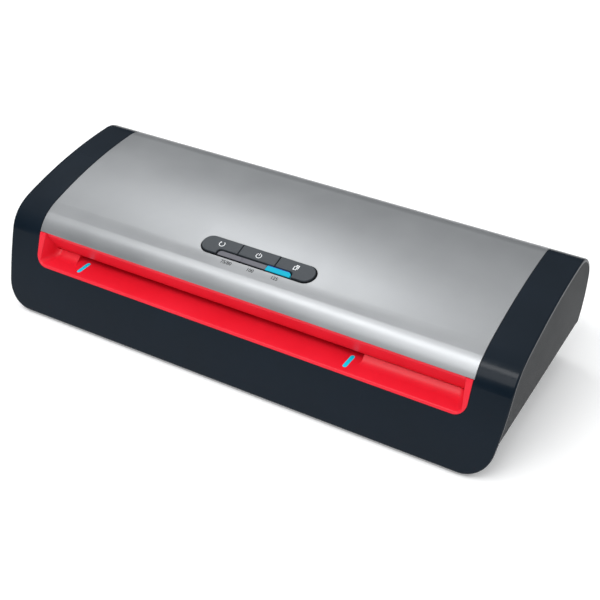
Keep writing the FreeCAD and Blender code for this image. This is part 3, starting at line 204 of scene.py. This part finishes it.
def make_finishes():
    """All finishes by material slot, and those of the bezel, the lit bar, its glow and the prints."""
    return {
        "shell_dark": finish("shell_dark", srgb(14, 24, 33), srgb(17, 27, 37), 0.2, grain=2400, bump=0.03,
                             sockets={"Specular IOR Level": 0.13}),
        # Darker, less glossy copy of the shell's finish: painted shade on the bezel around the keys.
        "bezel_painted_shade": finish("bezel_painted_shade", srgb(5, 7, 10), srgb(8, 10, 13), 0.5, grain=2400, bump=0.03,
                              sockets={"Specular IOR Level": 0.1}),
        "cover_silver": finish("cover_silver", srgb(146, 148, 150), srgb(151, 153, 155), 0.34, metallic=0.6,
                               grain=5200, bump=0.05),
        "panel_grey": finish("panel_grey", srgb(27, 30, 33), srgb(32, 35, 38), 0.6, grain=2600, bump=0.25,
                             sockets={"Specular IOR Level": 0.22}),
        "tray_black": finish("tray_black", srgb(22, 24, 26), srgb(27, 29, 31), 0.5, grain=2200, bump=0.2),
        "foot_rubber": finish("foot_rubber", srgb(18, 18, 19), srgb(24, 24, 25), 0.85, grain=2600, bump=0.3),
        "guide_red": finish("guide_red", srgb(222, 27, 46), srgb(228, 32, 52), 0.4, grain=1500, bump=0.02,
                            sockets={"Specular IOR Level": 0.3}),
        # The printed marks get a slight painted glow: emission that brightens them beyond what the lamps
        # give.
        "mark_cyan": finish("mark_cyan", srgb(0, 200, 228), srgb(6, 208, 236), 0.4, grain=1500, bump=0.02,
                            sockets={"Emission Color": (0.0, 0.5, 0.7, 1), "Emission Strength": 0.1,
                                     "Specular IOR Level": 0.15}),
        "path_plastic": finish("path_plastic", srgb(30, 31, 33), srgb(36, 37, 39), 0.5),
        "button_grey": finish("button_grey", srgb(53, 58, 63), srgb(58, 63, 68), 0.42, grain=3000, bump=0.12,
                              sockets={"Specular IOR Level": 0.3}),
        "light_clear": finish("light_clear", srgb(84, 84, 92), srgb(92, 92, 100), 0.36, grain=2600, bump=0.05,
                              sockets={"Specular IOR Level": 0.3}),
        "light_lit": finish("light_lit", srgb(0, 140, 165), srgb(0, 150, 176), 0.4, grain=2600, bump=0.05,
                            sockets={"Emission Color": (0.0, 0.32, 0.45, 1), "Emission Strength": 0.35,
                                     "Specular IOR Level": 0.12}),
        "light_glow": finish("light_glow", srgb(0, 40, 120), srgb(0, 50, 140), 0.3, grain=2600, bump=0.05,
                             sockets={"Emission Color": (0.0, 0.08, 0.5, 1), "Emission Strength": 0.4}),
        "ink_pale": finish("ink_pale", srgb(226, 229, 231), srgb(234, 237, 239), 0.5, grain=3000, bump=0.02),
        "ink_dark": finish("ink_dark", srgb(16, 18, 22), srgb(24, 26, 30), 0.6, grain=3000, bump=0.02),
        "board_green": finish("board_green", srgb(16, 74, 44), srgb(22, 86, 52), 0.4),
        "board_devices": finish("board_devices", srgb(40, 40, 42), srgb(52, 52, 55), 0.5),
        "lamp_white": finish("lamp_white", srgb(225, 225, 215), srgb(238, 238, 228), 0.35),
        "plate_steel": finish("plate_steel", srgb(168, 170, 172), srgb(182, 184, 186), 0.38, metallic=0.9),
        "bush_plastic": finish("bush_plastic", srgb(214, 204, 178), srgb(222, 212, 186), 0.45),
        "spring_steel": finish("spring_steel", srgb(150, 152, 155), srgb(170, 172, 175), 0.3, metallic=1.0),
        "shaft_steel": finish("shaft_steel", srgb(172, 175, 178), srgb(186, 189, 192), 0.25, metallic=1.0),
        "roller_silicone": finish("roller_silicone", srgb(178, 96, 62), srgb(188, 104, 68), 0.7, bump=0.15),
        "heater_aluminium": finish("heater_aluminium", srgb(176, 178, 180), srgb(192, 194, 196), 0.35,
                                   metallic=1.0),
        "heater_ceramic": finish("heater_ceramic", srgb(222, 218, 206), srgb(232, 228, 216), 0.6),
        "sensor_metal": finish("sensor_metal", srgb(150, 148, 142), srgb(168, 166, 160), 0.35, metallic=1.0),
        "gear_plastic": finish("gear_plastic", srgb(214, 210, 198), srgb(224, 220, 208), 0.45),
        "motor_steel": finish("motor_steel", srgb(140, 142, 145), srgb(158, 160, 163), 0.35, metallic=1.0),
    }


def dress_nodes(finishes):
    """Every CAD node takes the finish of its slot, apart from the few in OWN_FINISH."""
    for name, node in NODES.items():
        slot = node.data.materials[0].name.split(".")[0]
        node.data.materials.clear()
        node.data.materials.append(finishes[OWN_FINISH.get(name, slot)])


# ---- prints on the control panel -----------------------------------------------------
PANEL_AT = Vector((0.0, -31.4, 78.573))      # the panel's middle, in millimetres
PANEL_TILT = math.radians(16.028)
KEY_TOP = 1.5                                # key tops above the panel's plane
INK = 0.04                                   # thickness of the printed marks
ICON_WIDTH = 0.5                             # stroke widths of the key icons
POWER_WIDTH = 0.45
PAGES_WIDTH = 0.42
REVERSE_AT = (-29.8, 1.6)
REVERSE_RADIUS = 2.05
POWER_AT = (0.0, 1.6)
POWER_RADIUS = 2.0
PAGES_AT = (29.4, 1.6)
GLOW = ((10.0, -3.0), (26.8, -3.0))          # edge of light in the gap behind the lit bar
GLOW_LEVEL = 0.35
NUMERAL_V = -11.2                            # forward of the panel's middle, along the cover
NUMERALS = (("numeral_thin", "75/80", -19.2), ("numeral_medium", "100", 0.0), ("numeral_thick", "125", 19.2))
NUMERAL_SIZE = 3.75
NUMERAL_WEIGHT = 0.05                        # extra width of the strokes
WELD = 0.001                                 # lettering points closer than this become one
TOP_RADIUS = 351.0                           # the cover's curvature under the panel
TOP_END = 6.567                              # where it ends, forward of the panel's middle
SHOULDER_RADIUS = 45.0                       # and the tighter one beyond


def panel_matrix():
    """From the panel's own frame in millimetres to the row frame in metres."""
    return (Matrix.Scale(MM, 4) @ Matrix.Translation(PANEL_AT) @ Matrix.Rotation(PANEL_TILT, 4, "X"))


def arc_points(centre, radius, start, end, count=28):
    """Points along an arc, angles in degrees."""
    turn = [math.radians(start + (end - start) * i / (count - 1)) for i in range(count)]
    return [(centre[0] + radius * math.cos(a), centre[1] + radius * math.sin(a)) for a in turn]


def add_ribbon(bm, points, width, level, closed=False):
    """A flat stroke of even width along points, with a little thickness."""
    count = len(points)
    rows = []
    for i, (x, y) in enumerate(points):
        before = points[i - 1] if i or closed else points[0]
        after = points[(i + 1) % count] if i < count - 1 or closed else points[-1]
        along = Vector((after[0] - before[0], after[1] - before[1])).normalized()
        side = Vector((-along.y, along.x)) * (width / 2)
        if closed or 0 < i < count - 1:
            leg = Vector((x - before[0], y - before[1])).normalized()
            side *= 1 / max(0.5, abs(leg.dot(along)))
        left, right = (x + side.x, y + side.y), (x - side.x, y - side.y)
        corners = ((*left, level), (*right, level), (*right, level + INK), (*left, level + INK))
        rows.append([bm.verts.new(corner) for corner in corners])
    pairs = list(zip(rows, rows[1:])) + ([(rows[-1], rows[0])] if closed else [])
    for a, b in pairs:
        for k in range(4):
            bm.faces.new((a[k], b[k], b[(k + 1) % 4], a[(k + 1) % 4]))
    if not closed:
        bm.faces.new(rows[0])
        bm.faces.new(list(reversed(rows[-1])))


def add_patch(bm, points, level):
    """A flat printed shape with a little thickness."""
    low = [bm.verts.new((x, y, level)) for x, y in points]
    high = [bm.verts.new((x, y, level + INK)) for x, y in points]
    bm.faces.new(list(reversed(low)))
    bm.faces.new(high)
    for i in range(len(points)):
        k = (i + 1) % len(points)
        bm.faces.new((low[i], low[k], high[k], high[i]))


def place_print(name, bm, body, material):
    """Turn a bmesh in the panel's frame into a piece that rides on a body, and free the bmesh."""
    bmesh.ops.recalc_face_normals(bm, faces=bm.faces[:])
    mesh = bpy.data.meshes.new(name)
    bm.to_mesh(mesh)
    bm.free()
    mesh.transform(panel_matrix())
    mesh.materials.append(material)
    piece = bpy.data.objects.new(name, mesh)
    bpy.context.scene.collection.objects.link(piece)
    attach(piece, body)


def make_icons(ink):
    """Reverse arrow, power sign and page sign on the three keys."""
    level = KEY_TOP - INK / 4
    bm = bmesh.new()
    turn = arc_points(REVERSE_AT, REVERSE_RADIUS, 140, 420)
    add_ribbon(bm, turn, ICON_WIDTH, level)
    x, y = turn[0]
    add_patch(bm, [(x - 0.75, y - 0.35), (x + 0.75, y - 0.3), (x + 0.1, y + 0.85)], level)
    place_print("icon_reverse", bm, "key_reverse", ink)

    bm = bmesh.new()
    x, y = POWER_AT
    add_ribbon(bm, arc_points(POWER_AT, POWER_RADIUS, 122, 418), POWER_WIDTH, level)
    add_ribbon(bm, [(x, y + 0.2), (x, y + 2.6)], POWER_WIDTH, level)
    place_print("icon_power", bm, "key_power", ink)

    bm = bmesh.new()
    x, y = PAGES_AT
    front = [(x - 1.5, y - 2.0), (x - 1.5, y + 1.0), (x + 0.5, y + 1.0), (x + 0.5, y - 2.0)]
    back = [(x - 0.5, y + 1.4), (x - 0.5, y + 2.0), (x + 1.5, y + 2.0), (x + 1.5, y - 1.0),
            (x + 0.9, y - 1.0)]
    add_ribbon(bm, front, PAGES_WIDTH, level, closed=True)
    add_ribbon(bm, back, PAGES_WIDTH, level)
    place_print("icon_pages", bm, "key_mode", ink)


def make_glow(light):
    """Thin blue edge of light that leaks out behind the lit bar."""
    bm = bmesh.new()
    add_ribbon(bm, GLOW, ICON_WIDTH, GLOW_LEVEL)
    place_print("light_glow", bm, "body", light)


def onto_cover(point):
    """Lay a point, flat in the panel's frame, onto the cover's curved outside."""
    forward = -point.y
    first = min(forward, TOP_END) / TOP_RADIUS
    y, z = -TOP_RADIUS * math.sin(first), TOP_RADIUS * (math.cos(first) - 1)
    fall = first
    if forward > TOP_END:
        fall = first + (forward - TOP_END) / SHOULDER_RADIUS
        y -= SHOULDER_RADIUS * (math.sin(fall) - math.sin(first))
        z += SHOULDER_RADIUS * (math.cos(fall) - math.cos(first))
    return Vector((point.x, y - point.z * math.sin(fall), z + point.z * math.cos(fall)))


def make_numerals(ink):
    """Pouch thickness numerals printed on the cover, below the light bars."""
    for name, words, x in NUMERALS:
        text = bpy.data.curves.new(name, "FONT")
        text.body = words
        text.size = NUMERAL_SIZE
        text.extrude = INK / 2
        text.offset = NUMERAL_WEIGHT
        text.align_x = "CENTER"
        text.align_y = "CENTER"
        lettering = bpy.data.objects.new(name, text)
        bpy.context.scene.collection.objects.link(lettering)
        bpy.context.view_layer.update()
        mesh = bpy.data.meshes.new_from_object(lettering)
        bpy.data.objects.remove(lettering)
        bm = bmesh.new()
        bm.from_mesh(mesh)
        bmesh.ops.remove_doubles(bm, verts=bm.verts[:], dist=WELD)
        for vert in bm.verts:
            vert.co = onto_cover(vert.co + Vector((x, NUMERAL_V, INK / 4)))
        place_print(name, bm, "body", ink)


make_camera()
make_studio()
FINISHES = make_finishes()
dress_nodes(FINISHES)
make_icons(FINISHES["ink_pale"])
make_glow(FINISHES["light_glow"])
make_numerals(FINISHES["ink_dark"])
